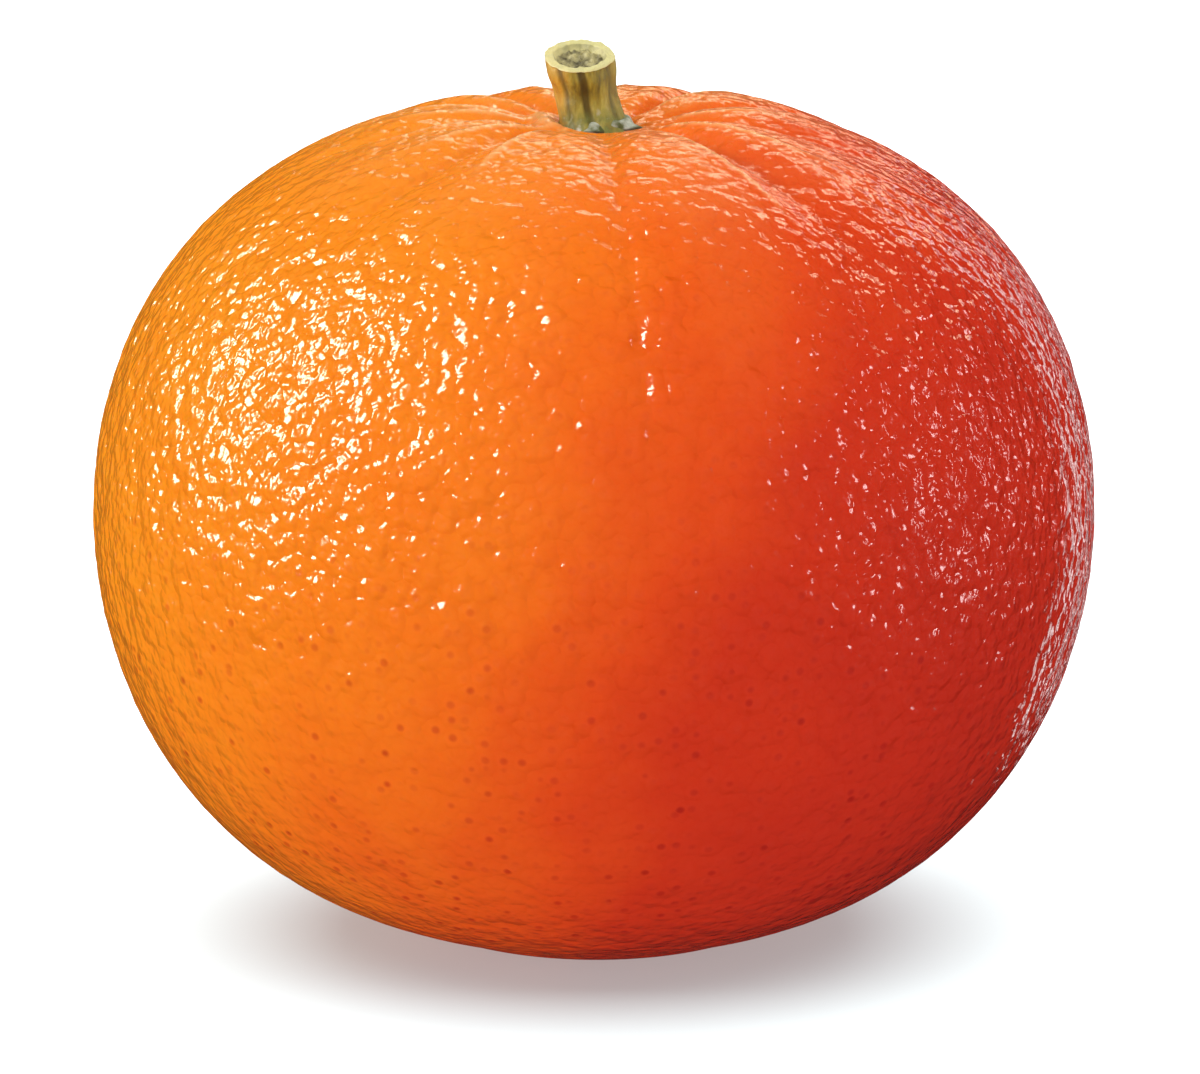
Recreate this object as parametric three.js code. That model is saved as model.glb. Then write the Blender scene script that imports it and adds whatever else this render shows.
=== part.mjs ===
// A whole mandarin with its short cut stem, resting on its blossom end.
//
// Millimetres and degrees, +Z up. The origin is on the surface that the fruit rests on, below the
// middle of the fruit, and the stem points up.

import * as THREE from 'three';
import { mergeVertices } from 'three/addons/utils/BufferGeometryUtils.js';

// Fruit: the distance from its middle out to the peel is a sum of cosines of the polar angle.
const MEAN_RADIUS = 31.0;
const MIDDLE_HEIGHT = 28.0;
const FLATTENING = 0.077; // wider than it is tall
const SHOULDER_FULLNESS = 0.008; // fuller above the middle than below it
const SQUARENESS = 0.016; // round shoulders rather than pointed ones
const SIDE_TO_SIDE = [0.35, 2, 20]; // height, waves around and place of the slow swell of the sides
const THREE_SIDED = [0.22, 3, 75];

// Neck: a shallow dip around the stem, with a low seat in its middle that the calyx lies on.
const NECK_DIP = 2.05;
const NECK_RADIUS = 6.2;
const SEAT_RISE = 0.45;
const SEAT_RADIUS = 3.6;

// Furrows between the segments: azimuth, turn from top to bottom, depth, and the polar angle where
// each one starts and has faded out.
const FURROWS = [
  [274, 3, 0.45, 7, 96],
  [311, 4, 0.85, 7, 58],
  [344, 8, 0.55, 7, 50],
  [15, 7, 1.0, 5, 44],
  [53, 3, 1.2, 5, 44],
  [96, 3, 0.7, 6, 50],
  [131, -2, 0.85, 5, 34],
  [160, -3, 1.3, 5, 46],
  [196, -8, 0.6, 6, 46],
  [231, -7, 0.7, 7, 58],
];
const FURROW_HALF_WIDTH = 7.5;
const FURROW_FADE_IN = 9;
// How far the peel stands up beside a furrow, as a share of its depth, and over how wide a band.
const PILLOW_RISE = 0.35;
const PILLOW_WIDTH = 2.6;

// Blossom end: a flat resting ring around a small scar.
const REST_RADIUS = 7.0;
const REST_BLEND_RADIUS = 13.0;
const SCAR_RADIUS = 3.0;
const SCAR_DEPTH = 0.5;

// Calyx and stem: radius and height pairs of the half outline, before they lean or ripple.
const GAP = 0.3;
const CALYX_LOBES = 5;
const CALYX_LOBE_REACH = 0.13;
const CALYX_OUTLINE = [
  [0, 0], [1.5, 0], [2.5, 0.02], [2.95, 0.12], [3.0, 0.3], [2.6, 0.55], [1.8, 0.62], [0, 0.62],
];
const STEM_OUTLINE = [
  [0, 0], [1.5, 0], [2.45, 0], [2.5, 0.2], [2.3, 0.75], [2.12, 1.5], [2.08, 2.2], [2.2, 2.9],
  [2.36, 3.35], [2.34, 3.6], [2.15, 3.72], [1.85, 3.68], [1.6, 3.5], [0.9, 3.42], [0, 3.42],
];
const STEM_HEIGHT = 3.72;
const STEM_RIBS = 5;
const STEM_RIB_DEPTH = 0.045;
const STEM_LEAN = -0.95; // how far the top stands to the side of the foot
const CUT_TILT = 0.28; // slope of the cut face, down towards -Y

const AROUND = 72;
const ROWS = 42;
const ROW_CROWDING = 0.09; // crowds the rows towards the stem and the blossom end
const SMALL_AROUND = 30;

function finish(name, color, roughness) {
  return new THREE.MeshStandardMaterial({ name, color, roughness, metalness: 0 });
}

const PEEL = finish('peel', 0xf06a1e, 0.38);
const CALYX_GREEN = finish('calyx', 0x77804a, 0.75);
const STEM_WOOD = finish('stem', 0xa8923a, 0.7);

const radians = THREE.MathUtils.degToRad;
const smooth = THREE.MathUtils.smoothstep;

// How far an azimuth is from a furrow's own, from -180 to 180 degrees.
function degreesApart(a, b) {
  return ((a - b + 540) % 360) - 180;
}

// Depth of the peel below its smooth surface, from every furrow together.
function furrowDepth(polar, azimuth) {
  let depth = 0;
  for (const [place, turn, deepest, start, end] of FURROWS) {
    const off = degreesApart(azimuth, place + turn * smooth(polar, start, end)) / FURROW_HALF_WIDTH;
    const along = smooth(polar, start, start + FURROW_FADE_IN) * (1 - smooth(polar, end / 2, end));
    const across = Math.exp(-off * off) - PILLOW_RISE * Math.exp(-((off / PILLOW_WIDTH) ** 2));
    depth += deepest * along * across;
  }
  return depth;
}

// Slow swells that keep the sides from being a perfect circle.
function swell(polar, azimuth) {
  const [sideHeight, sideWaves, sidePlace] = SIDE_TO_SIDE;
  const [threeHeight, threeWaves, threePlace] = THREE_SIDED;
  const side = sideHeight * Math.cos(radians(sideWaves * (azimuth - sidePlace)));
  const three = threeHeight * Math.cos(radians(threeWaves * (azimuth - threePlace)));
  return (side + three) * Math.sin(radians(polar)) ** 2;
}

function neckHeight(radius) {
  const dip = NECK_DIP * Math.exp(-((radius / NECK_RADIUS) ** 2));
  return SEAT_RISE * (1 - smooth(radius, SEAT_RADIUS / 3, SEAT_RADIUS)) - dip;
}

function scarHeight(radius) {
  return radius < SCAR_RADIUS ? SCAR_DEPTH * (1 - (radius / SCAR_RADIUS) ** 2) ** 2 : 0;
}

// The point of the peel at a polar angle down from the stem and an azimuth around it, in degrees.
function peelPoint(polar, azimuth) {
  const angle = radians(polar);
  const wave = FLATTENING * Math.cos(2 * angle) + SHOULDER_FULLNESS * Math.cos(3 * angle);
  const smoothDistance = MEAN_RADIUS * (1 - wave - SQUARENESS * Math.cos(4 * angle));
  const distance = smoothDistance + swell(polar, azimuth) - furrowDepth(polar, azimuth);
  const radius = distance * Math.sin(angle);
  let height = MIDDLE_HEIGHT + distance * Math.cos(angle);
  if (polar < 90) {
    height += neckHeight(radius);
  } else {
    height = height * smooth(radius, REST_RADIUS, REST_BLEND_RADIUS) + scarHeight(radius);
  }
  const around = radians(azimuth);
  return new THREE.Vector3(radius * Math.cos(around), radius * Math.sin(around), height);
}

// A closed mesh with its shared vertices joined, each vertex moved by a function of its place.
function reshaped(geometry, move) {
  geometry.deleteAttribute('normal');
  geometry.deleteAttribute('uv');
  const joined = mergeVertices(geometry, 1e-5);
  const places = joined.getAttribute('position');
  const place = new THREE.Vector3();
  for (let i = 0; i < places.count; i += 1) {
    place.fromBufferAttribute(places, i);
    places.setXYZ(i, ...move(place).toArray());
  }
  joined.computeVertexNormals();
  return joined;
}

function makeFruit() {
  const ball = new THREE.SphereGeometry(1, AROUND, ROWS).rotateX(Math.PI / 2);
  const geometry = reshaped(ball, (place) => {
    const share = Math.acos(THREE.MathUtils.clamp(place.z, -1, 1)) / Math.PI;
    const polar = 180 * (share - ROW_CROWDING * Math.sin(2 * Math.PI * share));
    const azimuth = THREE.MathUtils.radToDeg(Math.atan2(place.y, place.x));
    return peelPoint(polar, azimuth);
  });
  const fruit = new THREE.Mesh(geometry, PEEL);
  fruit.name = 'fruit';
  return fruit;
}

// A turned solid with its axis along +Z.
function turned(outline, around) {
  const points = outline.map(([radius, height]) => new THREE.Vector2(radius, height));
  return new THREE.LatheGeometry(points, around).rotateX(Math.PI / 2);
}

// The small star of sepals at the foot of the stem.
function makeCalyx(height) {
  const widest = Math.max(...CALYX_OUTLINE.map(([radius]) => radius));
  const geometry = reshaped(turned(CALYX_OUTLINE, SMALL_AROUND), (place) => {
    const azimuth = Math.atan2(place.y, place.x);
    const outwards = Math.hypot(place.x, place.y) / widest;
    const reach = 1 + CALYX_LOBE_REACH * outwards ** 2 * Math.cos(CALYX_LOBES * azimuth);
    return new THREE.Vector3(place.x * reach, place.y * reach, place.z);
  });
  const calyx = new THREE.Mesh(geometry, CALYX_GREEN);
  calyx.name = 'calyx';
  calyx.position.z = height;
  return calyx;
}

// The cut length of stem: ribbed, narrow in the middle, leaning, and cut a little aslant.
function makeStem(height) {
  const geometry = reshaped(turned(STEM_OUTLINE, SMALL_AROUND), (place) => {
    const azimuth = Math.atan2(place.y, place.x);
    const upwards = place.z / STEM_HEIGHT;
    const rib = 1 + STEM_RIB_DEPTH * Math.cos(STEM_RIBS * azimuth);
    const lean = STEM_LEAN * upwards * (2 - upwards);
    const tilt = CUT_TILT * place.y * upwards ** 2;
    return new THREE.Vector3(place.x * rib + lean, place.y * rib, place.z + tilt);
  });
  const stem = new THREE.Mesh(geometry, STEM_WOOD);
  stem.name = 'stem';
  stem.position.z = height;
  return stem;
}

const calyxThickness = Math.max(...CALYX_OUTLINE.map(([, height]) => height));
const seatHeight = peelPoint(0, 0).z;

const mandarin = new THREE.Group();
mandarin.add(makeFruit());
mandarin.add(makeCalyx(seatHeight + GAP));
mandarin.add(makeStem(seatHeight + GAP + calyxThickness + GAP));

export default mandarin;
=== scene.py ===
import math

import bpy
import numpy as np
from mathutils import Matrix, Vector, noise


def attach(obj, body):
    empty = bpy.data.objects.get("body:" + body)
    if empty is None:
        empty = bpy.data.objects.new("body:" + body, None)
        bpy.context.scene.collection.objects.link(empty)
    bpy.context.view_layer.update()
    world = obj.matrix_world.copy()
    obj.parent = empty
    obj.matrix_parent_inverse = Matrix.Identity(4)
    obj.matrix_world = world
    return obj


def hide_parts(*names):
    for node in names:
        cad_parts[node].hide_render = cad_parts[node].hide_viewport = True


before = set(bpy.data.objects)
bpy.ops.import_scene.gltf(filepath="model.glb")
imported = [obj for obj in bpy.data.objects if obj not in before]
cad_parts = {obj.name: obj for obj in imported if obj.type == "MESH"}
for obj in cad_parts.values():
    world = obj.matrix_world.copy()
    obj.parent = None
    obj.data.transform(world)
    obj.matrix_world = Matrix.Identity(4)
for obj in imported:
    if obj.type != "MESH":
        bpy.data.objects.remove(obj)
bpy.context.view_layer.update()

# ---- Camera, table and lamps ------------------------------------------------------------------
# The fruit stands on a seamless white table in a small studio. Softboxes on both sides and behind
# it make the highlights, two wide ones fill its sides, and one overhead lights only the table and
# so makes the soft shadow under the fruit.

scene = bpy.context.scene
AIM = Vector((0.00022, 0, 0.02664))
CAMERA_DISTANCE = 0.6
CAMERA_ELEVATION = math.radians(13)
CAMERA_LENS = 271

camera = bpy.data.objects.new("camera", bpy.data.cameras.new("camera"))
camera.data.lens = CAMERA_LENS
camera.data.sensor_width = 36
camera.data.clip_start = 0.01
camera.data.clip_end = 20
toward_camera = Vector((0, -math.cos(CAMERA_ELEVATION), math.sin(CAMERA_ELEVATION)))
camera.location = AIM + toward_camera * CAMERA_DISTANCE
camera.rotation_euler = (-toward_camera).to_track_quat("-Z", "Y").to_euler()
scene.collection.objects.link(camera)
scene.camera = camera

FLOOR_HALF = 3.0
floor_mesh = bpy.data.meshes.new("table_top")
floor_corners = [
    (-FLOOR_HALF, -FLOOR_HALF, 0),
    (FLOOR_HALF, -FLOOR_HALF, 0),
    (FLOOR_HALF, FLOOR_HALF, 0),
    (-FLOOR_HALF, FLOOR_HALF, 0),
]
floor_mesh.from_pydata(floor_corners, [], [(0, 1, 2, 3)])
floor = bpy.data.objects.new("table_top", floor_mesh)
floor.visible_diffuse = False
floor.visible_glossy = False
scene.collection.objects.link(floor)

white_table = bpy.data.materials.new("white_table")
white_table.use_nodes = True
table_shader = white_table.node_tree.nodes["Principled BSDF"]
table_shader.inputs["Base Color"].default_value = (0.245, 0.277, 0.282, 1)
table_shader.inputs["Roughness"].default_value = 0.9
table_shader.inputs["Specular IOR Level"].default_value = 0.0
table_shader.inputs["Emission Color"].default_value = (1, 1, 1, 1)
table_shader.inputs["Emission Strength"].default_value = 0.32
# From below, the table is see-through, so that the underside of the fruit can be looked at.
table_tree = white_table.node_tree
table_side = table_tree.nodes.new("ShaderNodeNewGeometry")
table_clear = table_tree.nodes.new("ShaderNodeBsdfTransparent")
table_mix = table_tree.nodes.new("ShaderNodeMixShader")
table_tree.links.new(table_side.outputs["Backfacing"], table_mix.inputs["Fac"])
table_tree.links.new(table_shader.outputs["BSDF"], table_mix.inputs[1])
table_tree.links.new(table_clear.outputs["BSDF"], table_mix.inputs[2])
table_out = table_tree.nodes["Material Output"]
table_tree.links.new(table_mix.outputs["Shader"], table_out.inputs["Surface"])
floor_mesh.materials.append(white_table)

fruit_only = bpy.data.collections.new("lit_as_fruit")
table_only = bpy.data.collections.new("lit_as_table")
scene.collection.children.link(fruit_only)
scene.collection.children.link(table_only)
table_only.objects.link(floor)

LAMP_DISTANCE = 0.7


def add_softbox(name, direction, width, height, watts, colour, seen_as, receivers=fruit_only):
    """A soft rectangular lamp that faces the fruit and lights only its receivers."""
    lamp = bpy.data.lights.new(name, "AREA")
    lamp.shape = "RECTANGLE"
    lamp.color = colour
    lamp.size = width
    lamp.size_y = height
    lamp.energy = watts
    box = bpy.data.objects.new(name, lamp)
    away = Vector(direction).normalized()
    box.location = AIM + away * LAMP_DISTANCE
    box.rotation_euler = away.to_track_quat("Z", "Y").to_euler()
    box.visible_diffuse = seen_as != "gloss"
    box.visible_glossy = seen_as != "fill"
    scene.collection.objects.link(box)
    box.light_linking.receiver_collection = receivers


WHITE = (1.0, 1.0, 1.0)
add_softbox("key_left_gloss", (-0.84, -0.06, 0.47), 0.26, 0.38, 9.0, (1.0, 0.95, 0.76), "gloss")
add_softbox("key_left_fill", (-0.9, -0.25, 0.4), 0.5, 0.5, 1.1, WHITE, "fill")
add_softbox("right_gloss", (0.965, 0.06, 0.13), 0.1, 0.2, 0.8, WHITE, "gloss")
add_softbox("right_fill", (1.0, 0.05, -0.15), 0.5, 0.5, 1.5, WHITE, "fill")
add_softbox("back_top", (0.24, 0.82, 0.52), 0.5, 0.12, 0.95, (1.0, 0.87, 0.6), "gloss")
add_softbox("back_right", (0.42, 0.9, 0.0), 0.07, 0.6, 0.38, WHITE, "gloss")
add_softbox("overhead", (0.0, 0.0, 1.0), 1.5, 1.5, 62.0, WHITE, "both", table_only)

# The room is white to look at, and lights the fruit evenly, a little more from above. Its gloss is
# held down with dark cards, so that the rind keeps its full colour.
ROOM_ABOVE = 1.12
ROOM_BELOW = 1.0
ROOM_FADE = 0.6
ROOM_GLOSS = 0.015
world = bpy.data.worlds.new("white_room")
scene.world = world
world.use_nodes = True
room = world.node_tree
room.nodes.clear()
room_path = room.nodes.new("ShaderNodeLightPath")
room_place = room.nodes.new("ShaderNodeTexCoord")
room_split = room.nodes.new("ShaderNodeSeparateXYZ")
room_fade = room.nodes.new("ShaderNodeMapRange")
room_fade.inputs["From Min"].default_value = -ROOM_FADE
room_fade.inputs["From Max"].default_value = ROOM_FADE
room_fade.inputs["To Min"].default_value = ROOM_BELOW
room_fade.inputs["To Max"].default_value = ROOM_ABOVE
room.links.new(room_place.outputs["Generated"], room_split.inputs["Vector"])
room.links.new(room_split.outputs["Z"], room_fade.inputs["Value"])


def add_room_level(fade_by, level_without, level_with):
    """Mixes two brightness levels of the room by what kind of ray looks at it."""
    mix = room.nodes.new("ShaderNodeMix")
    room.links.new(fade_by, mix.inputs["Factor"])
    for socket, level in ((mix.inputs["A"], level_without), (mix.inputs["B"], level_with)):
        if isinstance(level, float):
            socket.default_value = level
        else:
            room.links.new(level, socket)
    return mix.outputs["Result"]


room_level = room_fade.outputs["Result"]
room_level = add_room_level(room_path.outputs["Is Glossy Ray"], room_level, ROOM_GLOSS)
room_level = add_room_level(room_path.outputs["Is Camera Ray"], room_level, 1.0)
room_glow = room.nodes.new("ShaderNodeBackground")
room_glow.inputs["Color"].default_value = (1, 1, 1, 1)
room_out = room.nodes.new("ShaderNodeOutputWorld")
room.links.new(room_level, room_glow.inputs["Strength"])
room.links.new(room_glow.outputs["Background"], room_out.inputs["Surface"])

scene.view_settings.view_transform = "Standard"

# ---- Fruit ------------------------------------------------------------------------------------
# The whole fruit in its peel: a waxy rind over loose segments, wider than it is tall, drawn in
# around the stem by furrows between the segments and flattened where it rests. The peel is a
# grid wrapped round the fruit, pushed into the shape of the solid, with its oil glands on top.

MM = 0.001
# The peel's shape is worked out in millimetres and degrees, as the solid's is: the distance from
# the fruit's middle is a sum of cosines of the polar angle down from the stem.
MEAN_RADIUS = 31.0
MIDDLE_HEIGHT = 28.0
FLATTENING = 0.077
SHOULDER_FULLNESS = 0.008
SQUARENESS = 0.016
SIDE_TO_SIDE = (0.35, 2, 20)
THREE_SIDED = (0.22, 3, 75)
NECK_DIP = 2.05
NECK_RADIUS = 6.2
SEAT_RISE = 0.45
SEAT_RADIUS = 3.6
# Furrows: azimuth, turn from top to bottom, depth, and the polar angles where each one starts and
# has faded out.
FURROWS = (
    (274, 3, 0.45, 7, 96),
    (311, 4, 0.85, 7, 58),
    (344, 8, 0.55, 7, 50),
    (15, 7, 1.0, 5, 44),
    (53, 3, 1.2, 5, 44),
    (96, 3, 0.7, 6, 50),
    (131, -2, 0.85, 5, 34),
    (160, -3, 1.3, 5, 46),
    (196, -8, 0.6, 6, 46),
    (231, -7, 0.7, 7, 58),
)
FURROW_HALF_WIDTH = 7.5
FURROW_FADE_IN = 9
FULL_CREASE_AT = 0.4
CREASE_HALF_WIDTH = 0.5
CREASE_DEPTH = 0.13
PILLOW_RISE = 0.35
PILLOW_WIDTH = 2.6
REST_RADIUS = 7.0
REST_BLEND_RADIUS = 13.0
SCAR_RADIUS = 3.0
SCAR_DEPTH = 0.5
# Ridges of the peel beside and between the furrows, given as the furrows are; the rind is painted
# creamy along them, a painted highlight.
RIDGES = (
    (238, 3, 1.0, 5, 40),
    (221, -7, 0.9, 5, 36),
    (206, -6, 0.8, 5, 40),
    (256, 0, 0.5, 6, 26),
    (289, 2, 0.5, 6, 26),
    (304, 3, 1.0, 5, 54),
    (324, 7, 0.9, 5, 44),
    (335, 9, 0.6, 5, 36),
    (357, 8, 0.7, 5, 36),
    (6, 8, 1.0, 5, 42),
    (43, 3, 1.0, 5, 42),
    (80, 0, 0.6, 5, 32),
    (115, -3, 0.6, 5, 34),
    (171, -4, 1.0, 5, 42),
    (184, -5, 0.7, 5, 34),
)
RIDGE_HALF_WIDTH = 0.42
WRINKLE_HEIGHT = 0.22
CUFF_HEIGHT = 0.95
CUFF_RADIUS = 3.5
CUFF_HALF_WIDTH = 0.85
CUFF_SIDE = 190
CUFF_SPREAD = 45
NECK_DISTANCE = 28.0  # from the fruit's middle to the peel round the stem


def smooth_step(value, start, end):
    """Goes smoothly from 0 at the start to 1 at the end."""
    share = np.clip((value - start) / (end - start), 0.0, 1.0)
    return share * share * (3.0 - 2.0 * share)


def degrees_apart(a, b):
    return (a - b + 540.0) % 360.0 - 180.0


def marks_along(lines, polar, azimuth):
    """How far off each line a place is, in degrees around, and how strong the line is there."""
    for place, turn, deepest, start, end in lines:
        off = degrees_apart(azimuth, place + turn * smooth_step(polar, start, end))
        fade_out = 1 - smooth_step(polar, end / 2, end)
        yield off, deepest * smooth_step(polar, start, start + FURROW_FADE_IN) * fade_out


def furrow_depth(polar, azimuth):
    """Millimetres that the furrows sink the peel; below zero on the pillows between them."""
    depth = 0.0
    for off, strength in marks_along(FURROWS, polar, azimuth):
        off = off / FURROW_HALF_WIDTH
        across = np.exp(-off * off) - PILLOW_RISE * np.exp(-((off / PILLOW_WIDTH) ** 2))
        depth = depth + strength * across
    return depth


def crease(polar, azimuth):
    """The narrow line along the bottom of each furrow, from 0 to about 1."""
    line = 0.0
    radius = MEAN_RADIUS * np.sin(np.radians(polar))
    for off, strength in marks_along(FURROWS, polar, azimuth):
        across = np.radians(off) * radius / CREASE_HALF_WIDTH
        line = line + np.minimum(strength / FULL_CREASE_AT, 1.0) * np.exp(-across * across)
    return line


def swell(polar, azimuth):
    """Slow swells that keep the sides from being a perfect circle."""
    height = 0.0
    for tall, waves, place in (SIDE_TO_SIDE, THREE_SIDED):
        height = height + tall * np.cos(np.radians(waves * (azimuth - place)))
    return height * np.sin(np.radians(polar)) ** 2


def neck_height(radius):
    dip = NECK_DIP * np.exp(-((radius / NECK_RADIUS) ** 2))
    return SEAT_RISE * (1 - smooth_step(radius, SEAT_RADIUS / 3, SEAT_RADIUS)) - dip


def scar_height(radius):
    inside = np.clip(1 - (radius / SCAR_RADIUS) ** 2, 0, 1)
    return SCAR_DEPTH * inside**2


def neck_wrinkles(polar, azimuth):
    """Ridges that run out from the stem, from 0 to about 1, over a patchy set of finer ones."""
    around = np.radians(azimuth)
    fine = 1 - np.abs(np.sin(17.5 * around + np.sin(2 * around) + 0.4 + polar / 50))
    patchy = 0.5 + 0.5 * np.sin(5 * around + polar / 7 + 2.0)
    height = 0.4 * patchy * fine**3 * smooth_step(polar, 4, 9) * (1 - smooth_step(polar, 12, 30))
    radius = MEAN_RADIUS * np.sin(np.radians(polar))
    for off, strength in marks_along(RIDGES, polar, azimuth):
        across = np.radians(off) * radius / RIDGE_HALF_WIDTH
        height = height + strength * np.exp(-across * across)
    return height


def cuff(polar, azimuth):
    """The peel stands up a little round the foot of the stem, most at its left."""
    radius = NECK_DISTANCE * np.sin(np.radians(polar))
    side = 0.2 + 0.8 * np.exp(-((degrees_apart(azimuth, CUFF_SIDE) / CUFF_SPREAD) ** 2))
    across = (radius - CUFF_RADIUS) / CUFF_HALF_WIDTH
    return CUFF_HEIGHT * side * np.exp(-across * across) * (polar < 90)


def peel_place(polar, azimuth, with_cuff=True):
    """Points of the peel, in millimetres, at polar angles from the stem and azimuths, in degrees."""
    angle = np.radians(polar)
    wave = FLATTENING * np.cos(2 * angle) + SHOULDER_FULLNESS * np.cos(3 * angle)
    distance = MEAN_RADIUS * (1 - wave - SQUARENESS * np.cos(4 * angle))
    distance = distance + swell(polar, azimuth) - furrow_depth(polar, azimuth)
    distance = distance - CREASE_DEPTH * crease(polar, azimuth)
    distance = distance + WRINKLE_HEIGHT * neck_wrinkles(polar, azimuth)
    radius = distance * np.sin(angle)
    height = MIDDLE_HEIGHT + distance * np.cos(angle)
    above = height + neck_height(radius)
    if with_cuff:
        above = above + cuff(polar, azimuth)
    below = height * smooth_step(radius, REST_RADIUS, REST_BLEND_RADIUS) + scar_height(radius)
    height = np.where(polar < 90, above, below)
    around = np.radians(azimuth)
    return np.stack((radius * np.cos(around), radius * np.sin(around), height), -1)


GRID = 128
ROW_CROWDING = 0.045


def wrapped_grid(cells):
    """Unit directions and quads of a cube of square cells blown up to a ball."""
    steps = np.arange(cells + 1)
    u, v = np.meshgrid(steps, steps, indexing="ij")
    corners = []
    quads = []
    for axis in range(3):
        for far in (0, cells):
            place = np.empty((cells + 1, cells + 1, 3), int)
            place[..., axis] = far
            place[..., (axis + 1) % 3] = u
            place[..., (axis + 2) % 3] = v
            start = len(corners) * (cells + 1) ** 2
            index = start + np.arange((cells + 1) ** 2).reshape(cells + 1, cells + 1)
            ring = [index[:-1, :-1], index[1:, :-1], index[1:, 1:], index[:-1, 1:]]
            if far == 0:
                ring.reverse()
            corners.append(place.reshape(-1, 3))
            quads.append(np.stack(ring, -1).reshape(-1, 4))
    lattice, first = np.unique(np.concatenate(corners), axis=0, return_inverse=True)
    even = np.tan(np.pi / 4 * (2 * lattice / cells - 1))
    unit = even / np.linalg.norm(even, axis=1, keepdims=True)
    return unit, first.reshape(-1)[np.concatenate(quads)]


directions, peel_quads = wrapped_grid(GRID)
down_share = np.arccos(np.clip(directions[:, 2], -1, 1)) / np.pi
peel_polar = 180 * (down_share - ROW_CROWDING * np.sin(2 * np.pi * down_share))
peel_azimuth = np.degrees(np.arctan2(directions[:, 1], directions[:, 0]))
peel_points = peel_place(peel_polar, peel_azimuth) * MM

peel_mesh = bpy.data.meshes.new("peel")
peel_mesh.from_pydata(peel_points.tolist(), [], peel_quads.tolist())
peel_mesh.shade_smooth()
peel_marks = {
    "furrow": furrow_depth(peel_polar, peel_azimuth),
    "crease": crease(peel_polar, peel_azimuth),
    "wrinkle": neck_wrinkles(peel_polar, peel_azimuth) + cuff(peel_polar, peel_azimuth),
}
for mark, values in peel_marks.items():
    layer = peel_mesh.attributes.new(mark, "FLOAT", "POINT")
    layer.data.foreach_set("value", values)
peel = bpy.data.objects.new("peel", peel_mesh)
scene.collection.objects.link(peel)
fruit_only.objects.link(peel)

# The relief of the rind, built from the same nodes in the geometry and in the material: a low dome
# over each oil gland with a pit in its middle, pebbles of other sizes, and a slow unevenness.
GLAND_SIZE = 1.1 * MM
DOME_HEIGHT = 0.26 * MM
PIT_DEPTH = 0.06 * MM
PEBBLE_SIZE = 0.85 * MM
PEBBLE_HEIGHT = 0.42 * MM
UNEVEN_SIZE = 3.6 * MM
UNEVEN_HEIGHT = 0.5 * MM
SMOOTH_BELOW = 0.4
SMOOTH_NECK = 0.65
RELIEF_MEAN = 0.5 * (PEBBLE_HEIGHT + UNEVEN_HEIGHT) - 0.12 * DOME_HEIGHT


def add_math(tree, operation, *values):
    node = tree.nodes.new("ShaderNodeMath")
    node.operation = operation
    for socket, value in zip(node.inputs, values):
        if isinstance(value, (int, float)):
            socket.default_value = value
        else:
            tree.links.new(value, socket)
    return node.outputs[0]


def add_fade(tree, value, start, end, low, high):
    node = tree.nodes.new("ShaderNodeMapRange")
    node.interpolation_type = "SMOOTHSTEP"
    tree.links.new(value, node.inputs["Value"])
    node.inputs["From Min"].default_value = start
    node.inputs["From Max"].default_value = end
    node.inputs["To Min"].default_value = low
    node.inputs["To Max"].default_value = high
    return node.outputs["Result"]


def add_noise(tree, place, size, detail):
    node = tree.nodes.new("ShaderNodeTexNoise")
    node.inputs["Scale"].default_value = 1 / size
    node.inputs["Detail"].default_value = detail
    tree.links.new(place, node.inputs["Vector"])
    return node.outputs[0]


def add_rind_relief(tree, place):
    """The rind's relief in metres, the cells of its glands, and how high the place is."""
    glands = tree.nodes.new("ShaderNodeTexVoronoi")
    glands.inputs["Scale"].default_value = 1 / GLAND_SIZE
    glands.inputs["Randomness"].default_value = 0.85
    tree.links.new(place, glands.inputs["Vector"])
    off_gland = glands.outputs["Distance"]
    pit = add_fade(tree, off_gland, 0.0, 0.26, 1.0, 0.0)
    pebbles = add_noise(tree, place, PEBBLE_SIZE, 1)
    uneven = add_noise(tree, place, UNEVEN_SIZE, 1)
    height = add_math(tree, "MULTIPLY", add_math(tree, "POWER", off_gland, 2.0), -DOME_HEIGHT)
    height = add_math(tree, "MULTIPLY_ADD", pit, -PIT_DEPTH, height)
    height = add_math(tree, "MULTIPLY_ADD", pebbles, PEBBLE_HEIGHT, height)
    height = add_math(tree, "MULTIPLY_ADD", uneven, UNEVEN_HEIGHT, height)
    height = add_math(tree, "SUBTRACT", height, RELIEF_MEAN)
    split = tree.nodes.new("ShaderNodeSeparateXYZ")
    tree.links.new(place, split.inputs["Vector"])
    smoother = add_fade(tree, split.outputs["Z"], 8 * MM, 30 * MM, SMOOTH_BELOW, 1.0)
    height = add_math(tree, "MULTIPLY", height, smoother)
    smoother = add_fade(tree, split.outputs["Z"], 49 * MM, 55 * MM, 1.0, SMOOTH_NECK)
    return add_math(tree, "MULTIPLY", height, smoother), glands, split.outputs["Z"]


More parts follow.
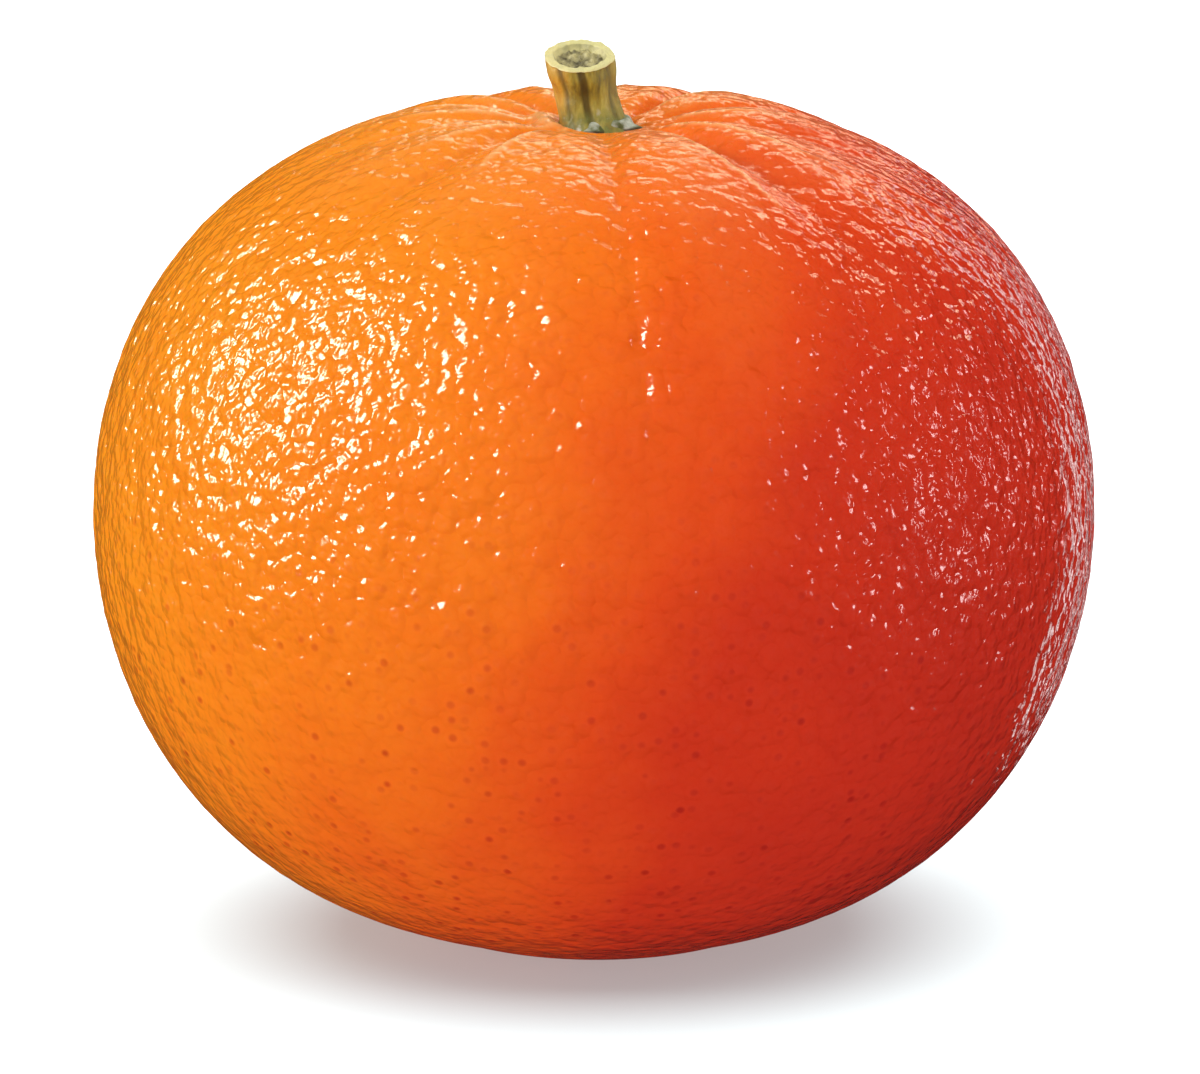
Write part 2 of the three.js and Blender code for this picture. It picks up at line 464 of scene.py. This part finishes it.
GEOMETRY_SHARE = 0.3
BUMP_SHARE = 0.9
relief = bpy.data.node_groups.new("rind_relief", "GeometryNodeTree")
relief.interface.new_socket("Geometry", in_out="INPUT", socket_type="NodeSocketGeometry")
relief.interface.new_socket("Geometry", in_out="OUTPUT", socket_type="NodeSocketGeometry")
relief_in = relief.nodes.new("NodeGroupInput")
relief_out = relief.nodes.new("NodeGroupOutput")
relief_move = relief.nodes.new("GeometryNodeSetPosition")
relief_place = relief.nodes.new("GeometryNodeInputPosition")
relief_normal = relief.nodes.new("GeometryNodeInputNormal")
relief_offset = relief.nodes.new("ShaderNodeVectorMath")
relief_offset.operation = "SCALE"
relief_height, _, above_table = add_rind_relief(relief, relief_place.outputs["Position"])
off_table = add_fade(relief, above_table, 0.1 * MM, 2.5 * MM, 0.0, GEOMETRY_SHARE)
relief_height = add_math(relief, "MULTIPLY", relief_height, off_table)
relief.links.new(relief_normal.outputs["Normal"], relief_offset.inputs[0])
relief.links.new(relief_height, relief_offset.inputs["Scale"])
relief.links.new(relief_in.outputs[0], relief_move.inputs["Geometry"])
relief.links.new(relief_offset.outputs["Vector"], relief_move.inputs["Offset"])
relief.links.new(relief_move.outputs["Geometry"], relief_out.inputs[0])
peel.modifiers.new("rind_relief", "NODES").node_group = relief

# The rind's finish, with a waxy gloss: orange on the left, turning red and darker to the right and
# towards the bottom. The turn to red is the fruit's blush; the darkening is painted shade.
rind = bpy.data.materials.new("rind")
rind.use_nodes = True
rind_tree = rind.node_tree
rind_shader = rind_tree.nodes["Principled BSDF"]
rind_place = rind_tree.nodes.new("ShaderNodeTexCoord").outputs["Object"]

from_middle = rind_tree.nodes.new("ShaderNodeVectorMath")
from_middle.operation = "SUBTRACT"
from_middle.inputs[1].default_value = (0, 0, MIDDLE_HEIGHT * MM)
rind_tree.links.new(rind_place, from_middle.inputs[0])
facing = rind_tree.nodes.new("ShaderNodeVectorMath")
facing.operation = "NORMALIZE"
rind_tree.links.new(from_middle.outputs["Vector"], facing.inputs[0])
# How far each place faces right and down: there the rind is painted redder with blush and darker
# with painted shade.
red_and_shaded_side = rind_tree.nodes.new("ShaderNodeVectorMath")
red_and_shaded_side.operation = "DOT_PRODUCT"
red_and_shaded_side.inputs[1].default_value = (0.9, -0.1, -0.37)
rind_tree.links.new(facing.outputs["Vector"], red_and_shaded_side.inputs[0])

blotches = add_noise(rind_tree, rind_place, 14 * MM, 3)
blush_and_shade = add_math(rind_tree, "MULTIPLY_ADD", blotches, 0.5, red_and_shaded_side.outputs["Value"])
blush_and_shade = add_math(rind_tree, "SUBTRACT", blush_and_shade, 0.25)

# Along the ramp the colours grow redder with the blush and darker with painted shade.
BLUSH_AND_SHADE_COLOURS = (
    (0.03, (0.97, 0.3, 0.01)),
    (0.29, (0.94, 0.23, 0.008)),
    (0.44, (0.89, 0.152, 0.007)),
    (0.50, (0.83, 0.105, 0.007)),
    (0.60, (0.77, 0.068, 0.007)),
    (0.71, (0.64, 0.034, 0.008)),
    (0.82, (0.57, 0.026, 0.009)),
    (0.97, (0.50, 0.021, 0.009)),
)
blush_and_shade_share = rind_tree.nodes.new("ShaderNodeMapRange")
blush_and_shade_share.inputs["From Min"].default_value = -0.95
blush_and_shade_share.inputs["From Max"].default_value = 0.95
rind_tree.links.new(blush_and_shade, blush_and_shade_share.inputs["Value"])
blush_and_shade_ramp = rind_tree.nodes.new("ShaderNodeValToRGB")
while len(blush_and_shade_ramp.color_ramp.elements) < len(BLUSH_AND_SHADE_COLOURS):
    blush_and_shade_ramp.color_ramp.elements.new(0.5)
for element, (share, colour) in zip(blush_and_shade_ramp.color_ramp.elements, BLUSH_AND_SHADE_COLOURS):
    element.position = share
    element.color = (*colour, 1)
rind_tree.links.new(blush_and_shade_share.outputs["Result"], blush_and_shade_ramp.inputs["Fac"])


def add_tint(tree, amount, base, tint, blend="MIX"):
    node = tree.nodes.new("ShaderNodeMix")
    node.data_type = "RGBA"
    node.blend_type = blend
    tree.links.new(amount, node.inputs["Factor"])
    tree.links.new(base, node.inputs["A"])
    node.inputs["B"].default_value = (*tint, 1)
    return node.outputs["Result"]


rind_height, rind_glands, rind_above_table = add_rind_relief(rind_tree, rind_place)
off_gland = rind_glands.outputs["Distance"]

# Some glands are painted darker and redder in their middles, over their pits, most of them low on
# the fruit: painted shade in the pits.
place_split = rind_tree.nodes.new("ShaderNodeSeparateXYZ")
rind_tree.links.new(facing.outputs["Vector"], place_split.inputs["Vector"])
low_down = add_fade(rind_tree, place_split.outputs["Z"], -0.35, 0.35, 1.0, 0.15)
gland_split = rind_tree.nodes.new("ShaderNodeSeparateColor")
rind_tree.links.new(rind_glands.outputs["Color"], gland_split.inputs["Color"])
pit_shade = add_fade(rind_tree, off_gland, 0.12, 0.36, 1.0, 0.0)
pit_shade_strength = add_math(rind_tree, "POWER", gland_split.outputs["Red"], 2.0)
pit_shade = add_math(rind_tree, "MULTIPLY", pit_shade, pit_shade_strength)
pit_shade = add_math(rind_tree, "MULTIPLY", pit_shade, low_down)
PIT_SHADE_TINT = (0.7, 0.36, 0.5)
VALLEY_SHADE_TINT = (0.9, 0.72, 0.8)
rind_colour = add_tint(rind_tree, pit_shade, blush_and_shade_ramp.outputs["Color"], PIT_SHADE_TINT, "MULTIPLY")
# The valleys between the glands' domes are painted a little darker: painted shade.
valley_shade = add_fade(rind_tree, off_gland, 0.3, 0.7, 0.0, 0.1)
rind_colour = add_tint(rind_tree, valley_shade, rind_colour, VALLEY_SHADE_TINT, "MULTIPLY")


def add_mark(tree, mark):
    node = tree.nodes.new("ShaderNodeAttribute")
    node.attribute_name = mark
    return node.outputs["Fac"]


# Painted light and shade that follow the relief: the pillows of peel are painted paler as if lit,
# the bottoms of the furrows a dark red as painted shade, and the ridges creamy as a painted
# highlight.
PILLOW_PAINTED_LIGHT = (0.98, 0.42, 0.12)
FURROW_PAINTED_SHADE = (0.46, 0.034, 0.006)
RIDGE_PAINTED_HIGHLIGHT = (0.98, 0.5, 0.2)
furrow_value = add_mark(rind_tree, "furrow")
# Painted light on the pillows.
pillow_painted_light = add_fade(rind_tree, furrow_value, 0.0, -0.4, 0.0, 0.25)
rind_colour = add_tint(rind_tree, pillow_painted_light, rind_colour, PILLOW_PAINTED_LIGHT)
# Painted shade in the furrows.
furrow_painted_shade = add_fade(rind_tree, furrow_value, 0.35, 0.85, 0.0, 0.9)
rind_colour = add_tint(rind_tree, furrow_painted_shade, rind_colour, FURROW_PAINTED_SHADE)
# Painted highlight along the ridges and the cuff.
ridge_painted_highlight = add_fade(rind_tree, add_mark(rind_tree, "wrinkle"), 0.2, 0.9, 0.0, 0.6)
rind_colour = add_tint(rind_tree, ridge_painted_highlight, rind_colour, RIDGE_PAINTED_HIGHLIGHT)
rind_tree.links.new(rind_colour, rind_shader.inputs["Base Color"])

CREASE_BUMP = 0.1 * MM
in_crease = add_mark(rind_tree, "crease")
rind_height = add_math(rind_tree, "MULTIPLY", rind_height, BUMP_SHARE)
rind_height = add_math(rind_tree, "MULTIPLY_ADD", in_crease, -CREASE_BUMP, rind_height)
rind_bump = rind_tree.nodes.new("ShaderNodeBump")
rind_bump.inputs["Distance"].default_value = 1.0
rind_tree.links.new(rind_height, rind_bump.inputs["Height"])
rind_tree.links.new(rind_bump.outputs["Normal"], rind_shader.inputs["Normal"])

rind_rough = add_fade(rind_tree, off_gland, 0.1, 0.6, 0.2, 0.15)
duller_neck = add_fade(rind_tree, rind_above_table, 50 * MM, 54 * MM, 0.0, 0.1)
rind_rough = add_math(rind_tree, "ADD", rind_rough, duller_neck)
rind_tree.links.new(rind_rough, rind_shader.inputs["Roughness"])
rind_shader.inputs["Subsurface Weight"].default_value = 0.4
rind_shader.inputs["Subsurface Radius"].default_value = (1.0, 0.35, 0.12)
rind_shader.inputs["Subsurface Scale"].default_value = 1.6 * MM
peel_mesh.materials.append(rind)

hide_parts("fruit")
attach(peel, "root")

# ---- Calyx ------------------------------------------------------------------------------------
# The dried star of sepals that holds the fruit to its stem: five small grey-green lobes pressed
# on the peel, thin and brown at the tips, and grown together into a cup round the stem's foot.

# Sepals: azimuth, length past the cup, and half width in degrees.
SEPALS = ((266, 0.4, 22), (338, 0.85, 14), (52, 0.7, 18), (124, 0.7, 18), (192, 0.1, 20))
CUP_RADIUS = 2.4
CUP_INNER = 2.3
CUP_WALL = 0.7
PEEL_REACH = 3.4  # past this radius the sepals keep level instead of following the peel
CALYX_AROUND = 180


def sepal_reach(azimuth):
    """How far the sepals reach past the cup, in millimetres."""
    reach = 0.0
    for place, length, half_width in SEPALS:
        reach = reach + length * np.exp(-((degrees_apart(azimuth, place) / half_width) ** 2))
    return reach


SEAT_DISTANCE = 28.2  # from the fruit's middle to the peel under the calyx


def peel_height(radius, azimuth):
    """Height of the peel near the stem, in millimetres, without its cuff."""
    polar = np.degrees(np.arcsin(radius / SEAT_DISTANCE))
    return peel_place(polar, azimuth, with_cuff=False)[..., 2]


def add_closed_rings(name, rings, marks):
    """A mesh piece from an array of rings of points; the last ring joins the first."""
    count, around = rings.shape[:2]
    index = np.arange(count * around).reshape(count, around)
    inner = np.roll(index, -1, axis=0)
    quads = np.stack((index, np.roll(index, -1, axis=1), np.roll(inner, -1, axis=1), inner), -1)
    mesh = bpy.data.meshes.new(name)
    mesh.from_pydata((rings.reshape(-1, 3) * MM).tolist(), [], quads.reshape(-1, 4).tolist())
    mesh.shade_smooth()
    for mark, values in marks.items():
        layer = mesh.attributes.new(mark, "FLOAT", "POINT")
        layer.data.foreach_set("value", np.broadcast_to(values, (count, around)).reshape(-1))
    piece = bpy.data.objects.new(name, mesh)
    scene.collection.objects.link(piece)
    fruit_only.objects.link(piece)
    return piece


calyx_azimuth = np.arange(CALYX_AROUND) * 360 / CALYX_AROUND
calyx_reach = CUP_RADIUS + sepal_reach(calyx_azimuth)
# Each ring: share of the way out to the sepal's edge (below 0, of the cup's wall inwards), and
# height over the peel in millimetres.
CALYX_SECTION = (
    (-0.9, -0.1), (-0.5, -0.12), (0.0, -0.1), (0.6, -0.06), (0.9, -0.02), (1.0, 0.06),
    (0.98, 0.15), (0.85, 0.22), (0.6, 0.3), (0.3, 0.38), (0.08, 0.46), (-0.1, 0.56),
    (-0.25, 0.64), (-0.4, 0.68), (-0.6, 0.66), (-0.9, 0.5),
)
calyx_rings = []
calyx_edge = []
for out, lift in CALYX_SECTION:
    radius = CUP_INNER + out * (calyx_reach - CUP_INNER if out > 0 else CUP_WALL)
    height = peel_height(np.minimum(radius, PEEL_REACH), calyx_azimuth) + lift
    ripple = 0.05 * np.sin(np.radians(calyx_azimuth * 11 + 40 * out))
    around = np.radians(calyx_azimuth)
    x = radius * np.cos(around)
    y = radius * np.sin(around)
    calyx_rings.append(np.stack((x, y, height + ripple), -1))
    calyx_edge.append(np.full(CALYX_AROUND, out))
calyx = add_closed_rings("calyx_sepals", np.array(calyx_rings), {"outward": np.array(calyx_edge)})

# Dry plant skin, on the sepals and on the bark, has a fine grain that catches the light.
dry_grain = bpy.data.node_groups.new("dry_grain", "ShaderNodeTree")
dry_grain.interface.new_socket("Place", in_out="INPUT", socket_type="NodeSocketVector")
dry_grain.interface.new_socket("Grains per metre", in_out="INPUT", socket_type="NodeSocketFloat")
dry_grain.interface.new_socket("Depth", in_out="INPUT", socket_type="NodeSocketFloat")
dry_grain.interface.new_socket("Normal", in_out="OUTPUT", socket_type="NodeSocketVector")
grain_in = dry_grain.nodes.new("NodeGroupInput")
grain_out = dry_grain.nodes.new("NodeGroupOutput")
grain_noise = dry_grain.nodes.new("ShaderNodeTexNoise")
grain_noise.inputs["Detail"].default_value = 3
grain_bump = dry_grain.nodes.new("ShaderNodeBump")
dry_grain.links.new(grain_in.outputs["Place"], grain_noise.inputs["Vector"])
dry_grain.links.new(grain_in.outputs["Grains per metre"], grain_noise.inputs["Scale"])
dry_grain.links.new(grain_in.outputs["Depth"], grain_bump.inputs["Distance"])
dry_grain.links.new(grain_noise.outputs[0], grain_bump.inputs["Height"])
dry_grain.links.new(grain_bump.outputs["Normal"], grain_out.inputs["Normal"])


def add_dry_grain(tree, place, size, depth):
    node = tree.nodes.new("ShaderNodeGroup")
    node.node_tree = dry_grain
    tree.links.new(place, node.inputs["Place"])
    node.inputs["Grains per metre"].default_value = 1 / size
    node.inputs["Depth"].default_value = depth
    return node.outputs["Normal"]


sepal_skin = bpy.data.materials.new("dry_sepal")
sepal_skin.use_nodes = True
sepal_tree = sepal_skin.node_tree
sepal_shader = sepal_tree.nodes["Principled BSDF"]
sepal_place = sepal_tree.nodes.new("ShaderNodeTexCoord").outputs["Object"]
lichen = add_noise(sepal_tree, sepal_place, 0.8 * MM, 4)
sepal_ramp = sepal_tree.nodes.new("ShaderNodeValToRGB")
sepal_ramp.color_ramp.elements[0].position = 0.4
sepal_ramp.color_ramp.elements[0].color = (0.1, 0.12, 0.015, 1)
sepal_ramp.color_ramp.elements[1].position = 0.62
sepal_ramp.color_ramp.elements[1].color = (0.5, 0.53, 0.42, 1)
sepal_tree.links.new(lichen, sepal_ramp.inputs["Fac"])
tip = add_fade(sepal_tree, add_mark(sepal_tree, "outward"), 0.75, 1.0, 0.0, 0.85)
SEPAL_TIP_COLOUR = (0.06, 0.035, 0.015)
sepal_colour = add_tint(sepal_tree, tip, sepal_ramp.outputs["Color"], SEPAL_TIP_COLOUR)
sepal_tree.links.new(sepal_colour, sepal_shader.inputs["Base Color"])
sepal_shader.inputs["Roughness"].default_value = 0.6
sepal_normal = add_dry_grain(sepal_tree, sepal_place, 0.25 * MM, 0.08 * MM)
sepal_tree.links.new(sepal_normal, sepal_shader.inputs["Normal"])
calyx.data.materials.append(sepal_skin)

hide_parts("calyx")
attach(calyx, "root")

# ---- Stem -------------------------------------------------------------------------------------
# The woody stalk, cut off short with secateurs: a ribbed yellow-green bark that narrows in the
# middle and flares to a thick pale rim, round a sunken face of dark, open pith.

STEM_HEIGHT = 4.85
STEM_LEAN = -1.1
CUT_TILT = 0.28
# Grooves between the ribs: azimuth, depth and half width in degrees.
GROOVES = (
    (235, 0.16, 9),
    (272, 0.26, 8),
    (326, 0.15, 10),
    (18, 0.2, 10),
    (74, 0.16, 9),
    (128, 0.22, 10),
    (184, 0.14, 9),
)
RIM_ROUNDING = 0.18
STEM_AROUND = 160
STEM_SIDE_ROWS = 64


def groove_depth(azimuth):
    depth = 0.0
    for place, deepest, half_width in GROOVES:
        depth = depth + deepest * np.exp(-((degrees_apart(azimuth, place) / half_width) ** 2))
    return depth


def bark_radius(height):
    foot = 0.62 * np.exp(-np.clip(height, 0, 9) / 0.6)
    flare = 0.27 * smooth_step(height, 2.2, 4.2)
    return 2.1 + foot + flare


# The half outline of the stem: radius, height, and how cut the surface is, from 0 on the bark to
# 1 on the pith.
side_heights = np.linspace(-0.3, STEM_HEIGHT - 0.15, STEM_SIDE_ROWS)
stem_section = [(bark_radius(h), h, 0.0) for h in side_heights]
rim_radius = bark_radius(STEM_HEIGHT)
for turn in np.radians(np.linspace(10, 90, 9)):
    radius = rim_radius - RIM_ROUNDING + RIM_ROUNDING * math.cos(turn)
    height = STEM_HEIGHT - RIM_ROUNDING + RIM_ROUNDING * math.sin(turn)
    stem_section.append((radius, height, 0.3))
for radius in np.linspace(rim_radius - 0.26, 1.86, 6):
    stem_section.append((radius, STEM_HEIGHT - 0.02, 0.5))
for radius, drop in ((1.78, 0.1), (1.68, 0.24), (1.56, 0.36)):
    stem_section.append((radius, STEM_HEIGHT - drop, 0.8))
for radius in np.linspace(1.46, 0.06, 18):
    stem_section.append((radius, STEM_HEIGHT - 0.42 + 0.06 * radius, 1.0))

stem_azimuth = np.arange(STEM_AROUND) * 360 / STEM_AROUND
stem_foot = float(peel_height(np.array(0.0), np.array(0.0)))
stem_around = np.radians(stem_azimuth)
stem_rings = []
stem_cut = []
stem_groove = []
for radius, height, cut in stem_section:
    groove = groove_depth(stem_azimuth + 3 * math.sin(height * 1.4))
    fade = min(1.0, radius / 1.7) if cut < 0.9 else 0.0
    wander = [
        noise.noise(Vector((math.cos(a) * 1.6, math.sin(a) * 1.6, height * 0.55 + 3)))
        for a in stem_around
    ]
    groove_share = 0.35 if cut > 0.2 else 1.0
    ring_radius = radius - groove * fade * groove_share + 0.14 * np.array(wander) * fade
    upwards = max(height, 0) / STEM_HEIGHT
    lean = STEM_LEAN * upwards * (2 - upwards)
    x = ring_radius * np.cos(stem_around)
    y = ring_radius * np.sin(stem_around)
    bumps = np.zeros(STEM_AROUND)
    if cut > 0.2:
        grain = 2.6 if cut < 0.9 else 3.2
        roughness = 0.08 if cut < 0.9 else 0.3
        knobs = [noise.noise(Vector((a * grain, b * grain, 7.0))) for a, b in zip(x, y)]
        bumps = roughness * np.array(knobs)
    z = stem_foot + height + CUT_TILT * y * upwards**2 + bumps
    stem_rings.append(np.stack((x + lean, y, z), -1))
    stem_cut.append(np.full(STEM_AROUND, cut))
    stem_groove.append(groove)


def add_capped_rings(name, rings, marks):
    """A mesh piece from rings of points, closed by a flat face at each end."""
    count, around = rings.shape[:2]
    index = np.arange(count * around).reshape(count, around)
    low_ring = index[:-1]
    high_ring = index[1:]
    low_next = np.roll(low_ring, -1, axis=1)
    high_next = np.roll(high_ring, -1, axis=1)
    quads = np.stack((low_ring, low_next, high_next, high_ring), -1)
    faces = quads.reshape(-1, 4).tolist() + [index[0, ::-1].tolist(), index[-1].tolist()]
    mesh = bpy.data.meshes.new(name)
    mesh.from_pydata((rings.reshape(-1, 3) * MM).tolist(), [], faces)
    mesh.shade_smooth()
    for mark, values in marks.items():
        layer = mesh.attributes.new(mark, "FLOAT", "POINT")
        layer.data.foreach_set("value", values.reshape(-1))
    piece = bpy.data.objects.new(name, mesh)
    scene.collection.objects.link(piece)
    fruit_only.objects.link(piece)
    return piece


stem_marks = {"cut": np.array(stem_cut), "groove": np.array(stem_groove)}
stem = add_capped_rings("cut_stem", np.array(stem_rings), stem_marks)

bark = bpy.data.materials.new("stem_bark")
bark.use_nodes = True
bark_tree = bark.node_tree
bark_shader = bark_tree.nodes["Principled BSDF"]
bark_place = bark_tree.nodes.new("ShaderNodeTexCoord").outputs["Object"]
bark_stretch = bark_tree.nodes.new("ShaderNodeVectorMath")
bark_stretch.operation = "MULTIPLY"
bark_stretch.inputs[1].default_value = (1, 1, 0.35)
bark_tree.links.new(bark_place, bark_stretch.inputs[0])
streaks = add_noise(bark_tree, bark_stretch.outputs["Vector"], 0.9 * MM, 4)
bark_ramp = bark_tree.nodes.new("ShaderNodeValToRGB")
BARK_COLOURS = (
    (0.30, (0.11, 0.085, 0.008)),
    (0.44, (0.31, 0.25, 0.02)),
    (0.55, (0.48, 0.41, 0.06)),
    (0.64, (0.38, 0.36, 0.05)),
    (0.76, (0.75, 0.64, 0.22)),
)
while len(bark_ramp.color_ramp.elements) < len(BARK_COLOURS):
    bark_ramp.color_ramp.elements.new(0.5)
for element, (share, colour) in zip(bark_ramp.color_ramp.elements, BARK_COLOURS):
    element.position = share
    element.color = (*colour, 1)
bark_tree.links.new(streaks, bark_ramp.inputs["Fac"])
bark_split = bark_tree.nodes.new("ShaderNodeSeparateXYZ")
bark_tree.links.new(bark_place, bark_split.inputs["Vector"])
# Painted light and shade: the left side, towards the lamp, is painted a lighter ochre, and the right
# side a darker brown.
LIT_SIDE_OCHRE = (0.74, 0.37, 0.02)
SHADED_SIDE_BROWN = (0.3, 0.19, 0.02)
GROOVE_SHADE_BROWN = (0.075, 0.055, 0.006)
RIM_CREAM = (0.8, 0.73, 0.32)
lit_side_ochre = add_fade(bark_tree, bark_split.outputs["X"], -1.5 * MM, -2.4 * MM, 0.0, 0.6)
bark_colour = add_tint(bark_tree, lit_side_ochre, bark_ramp.outputs["Color"], LIT_SIDE_OCHRE)
shaded_side_brown = add_fade(bark_tree, bark_split.outputs["X"], 0.3 * MM, 1.3 * MM, 0.0, 0.5)
bark_colour = add_tint(bark_tree, shaded_side_brown, bark_colour, SHADED_SIDE_BROWN)
# Painted shade in the grooves between the ribs.
groove_shade = add_fade(bark_tree, add_mark(bark_tree, "groove"), 0.03, 0.2, 0.0, 0.85)
bark_colour = add_tint(bark_tree, groove_shade, bark_colour, GROOVE_SHADE_BROWN)
how_cut = add_mark(bark_tree, "cut")
on_rim = add_fade(bark_tree, how_cut, 0.1, 0.3, 0.0, 0.8)
bark_colour = add_tint(bark_tree, on_rim, bark_colour, RIM_CREAM)
# The foot is mossy green with pale grey crusts, where the bark meets the sepals.
FOOT_TOP = (stem_foot + 2.0) * MM
FOOT_FADE = 1.4 * MM
MOSS_GREEN = (0.2, 0.22, 0.035)
CRUST_GREY = (0.56, 0.58, 0.46)
near_foot = add_fade(bark_tree, bark_split.outputs["Z"], FOOT_TOP - FOOT_FADE, FOOT_TOP, 1.0, 0.0)
crust = add_noise(bark_tree, bark_place, 0.7 * MM, 3)
moss = add_fade(bark_tree, crust, 0.35, 0.55, 0.35, 0.9)
mossy = add_math(bark_tree, "MULTIPLY", near_foot, moss)
bark_colour = add_tint(bark_tree, mossy, bark_colour, MOSS_GREEN)
pale_crust = add_fade(bark_tree, crust, 0.55, 0.7, 0.0, 0.9)
crusted = add_math(bark_tree, "MULTIPLY", near_foot, pale_crust)
bark_colour = add_tint(bark_tree, crusted, bark_colour, CRUST_GREY)
in_pith = add_fade(bark_tree, how_cut, 0.6, 1.0, 0.0, 0.9)
specks = add_noise(bark_tree, bark_place, 0.75 * MM, 4)
pith_ramp = bark_tree.nodes.new("ShaderNodeValToRGB")
pith_ramp.color_ramp.elements[0].position = 0.36
pith_ramp.color_ramp.elements[0].color = (0.06, 0.045, 0.012, 1)
pith_ramp.color_ramp.elements[1].position = 0.66
pith_ramp.color_ramp.elements[1].color = (0.56, 0.48, 0.2, 1)
bark_tree.links.new(specks, pith_ramp.inputs["Fac"])
with_pith = bark_tree.nodes.new("ShaderNodeMix")
with_pith.data_type = "RGBA"
bark_tree.links.new(in_pith, with_pith.inputs["Factor"])
bark_tree.links.new(bark_colour, with_pith.inputs["A"])
bark_tree.links.new(pith_ramp.outputs["Color"], with_pith.inputs["B"])
bark_tree.links.new(with_pith.outputs["Result"], bark_shader.inputs["Base Color"])
bark_shader.inputs["Roughness"].default_value = 0.55
bark_normal = add_dry_grain(bark_tree, bark_stretch.outputs["Vector"], 0.22 * MM, 0.1 * MM)
bark_tree.links.new(bark_normal, bark_shader.inputs["Normal"])
stem.data.materials.append(bark)

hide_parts("stem")
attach(stem, "root")
